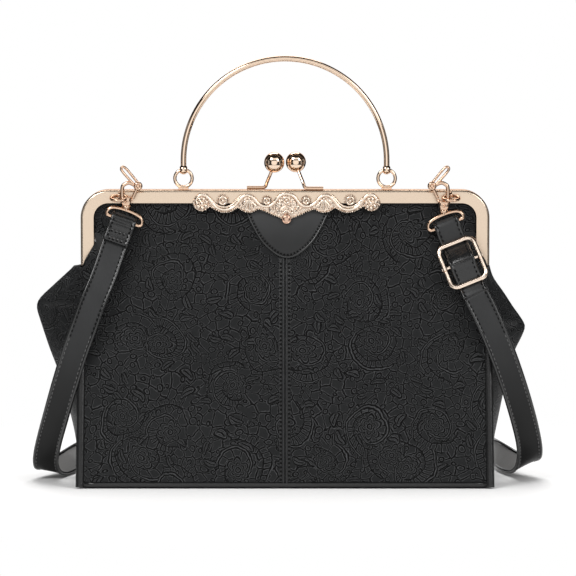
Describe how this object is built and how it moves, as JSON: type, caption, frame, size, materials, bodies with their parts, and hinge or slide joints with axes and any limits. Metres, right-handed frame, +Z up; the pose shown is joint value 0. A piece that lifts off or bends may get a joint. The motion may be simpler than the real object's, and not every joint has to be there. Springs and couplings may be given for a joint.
{
  "type": "kiss lock frame purse",
  "caption": "Black embossed leather purse on a hinged gold frame with a ball kiss lock, arched metal handle, cast ornament and a clip-on strap with trigger hooks and a slider.",
  "frame": {"origin": "middle of the base panel's underside, on the surface that the purse stands on", "axes": "+X to the right seen from the front, +Y to the back, +Z up; the front faces -Y"},
  "size_m": [0.3112, 0.1758, 0.2597],
  "materials": {
    "frame_metal": "satin champagne gold plate",
    "bright_metal": "polished champagne gold plate",
    "ornament_metal": "antiqued rose gold casting",
    "embossed_leather": "black embossed leather, satin",
    "plain_leather": "black leather, satin",
    "strap_leather": "black leather, matt grain",
    "lining_cloth": "dark woven lining",
    "board": "stiff base insert"
  },
  "bodies": {
    "bag": {"front_panel_left": "embossed_leather", "front_panel_right": "embossed_leather", "back_panel": "embossed_leather", "gusset_left": "embossed_leather", "gusset_right": "embossed_leather", "base_panel": "embossed_leather", "base_board": "board", "piping_front_left": "plain_leather", "piping_front_right": "plain_leather", "piping_back_left": "plain_leather", "piping_back_right": "plain_leather", "piping_front_base": "plain_leather", "piping_back_base": "plain_leather", "lining_front": "lining_cloth", "lining_back": "lining_cloth", "lining_left": "lining_cloth", "lining_right": "lining_cloth", "lining_base": "lining_cloth", "strap_left": "strap_leather", "strap_back": "strap_leather", "strap_right": "strap_leather"},
    "front_frame": {"front_frame": "frame_metal", "hinge_rivet_left": "frame_metal", "hinge_rivet_right": "frame_metal", "clasp_arm_front": "bright_metal", "clasp_ball_front": "bright_metal", "ornament": "ornament_metal", "ornament_stud": "ornament_metal", "front_tab": "plain_leather", "front_upper_left": "embossed_leather", "front_upper_right": "embossed_leather", "lining_upper_front": "lining_cloth", "staple_left": "bright_metal", "staple_right": "bright_metal", "eye_left": "bright_metal", "eye_right": "bright_metal", "strap_end_left": "strap_leather", "strap_end_right": "strap_leather"},
    "back_frame": {"back_frame": "frame_metal", "clasp_arm_back": "bright_metal", "clasp_ball_back": "bright_metal", "handle_ring_left": "bright_metal", "handle_ring_right": "bright_metal", "back_upper": "embossed_leather", "lining_upper_back": "lining_cloth"},
    "handle": {"handle_bow": "bright_metal", "handle_bead_left": "bright_metal", "handle_bead_right": "bright_metal"},
    "slider": {"slider_loop": "bright_metal", "slider_bar": "bright_metal"},
    "left_ring": {"strap_ring_left": "bright_metal"},
    "left_hook": {"hook_left": "bright_metal", "gate_pin_left": "bright_metal"},
    "left_gate": {"gate_left": "bright_metal"},
    "right_ring": {"strap_ring_right": "bright_metal"},
    "right_hook": {"hook_right": "bright_metal", "gate_pin_right": "bright_metal"},
    "right_gate": {"gate_right": "bright_metal"}
  },
  "joints": [
    {"name": "frame_open", "type": "hinge", "parent": "bag", "child": "front_frame", "pos_m": [0, 0, 0.126], "axis": [1, 0, 0], "range_deg": [0, 28], "deforming": ["front_upper_left", "front_upper_right", "lining_upper_front", "gusset_left", "gusset_right", "lining_left", "lining_right", "lining_front", "strap_end_left", "strap_end_right", "strap_left", "strap_right"]},
    {"name": "back_open", "type": "hinge", "parent": "bag", "child": "back_frame", "pos_m": [0, 0, 0.126], "axis": [-1, 0, 0], "range_deg": [0, 28], "deforming": ["back_upper", "lining_upper_back", "gusset_left", "gusset_right", "lining_left", "lining_right", "lining_back"]},
    {"name": "handle_swing", "type": "hinge", "parent": "back_frame", "child": "handle", "pos_m": [0, 0.0038, 0.18995], "axis": [1, 0, 0], "range_deg": [-90, 90]},
    {"name": "left_ring_swing", "type": "hinge", "parent": "front_frame", "child": "left_ring", "pos_m": [-0.1012, -0.00855, 0.1746], "axis": [-1, 0, 0], "range_deg": [0, 8]},
    {"name": "left_hook_swivel", "type": "hinge", "parent": "front_frame", "child": "left_hook", "pos_m": [-0.0967, -0.01319, 0.16446], "axis": [0, 0, 1], "range_deg": [-15, 15]},
    {"name": "left_gate", "type": "hinge", "parent": "left_hook", "child": "left_gate", "pos_m": [-0.0895, -0.01319, 0.18078], "axis": [0, 1, 0], "range_deg": [0, 30], "stiffness_Nm_per_rad": 0.006, "springref_deg": -17.19},
    {"name": "right_ring_swing", "type": "hinge", "parent": "front_frame", "child": "right_ring", "pos_m": [0.1012, -0.00855, 0.1746], "axis": [-1, 0, 0], "range_deg": [0, 8]},
    {"name": "right_hook_swivel", "type": "hinge", "parent": "front_frame", "child": "right_hook", "pos_m": [0.0967, -0.01319, 0.16446], "axis": [0, 0, 1], "range_deg": [-15, 15]},
    {"name": "right_gate", "type": "hinge", "parent": "right_hook", "child": "right_gate", "pos_m": [0.0895, -0.01319, 0.18078], "axis": [0, -1, 0], "range_deg": [0, 30], "stiffness_Nm_per_rad": 0.006, "springref_deg": -17.19},
    {"name": "slider_slide", "type": "slide", "parent": "front_frame", "child": "slider", "axis": [-0.3454, 0.3872, 0.8548], "range_m": [0, 0.006], "deforming": ["strap_right", "strap_end_right"]}
  ],
  "couplings": [
    {"joint": "back_open", "follows": "frame_open", "ratio": 1}
  ]
}
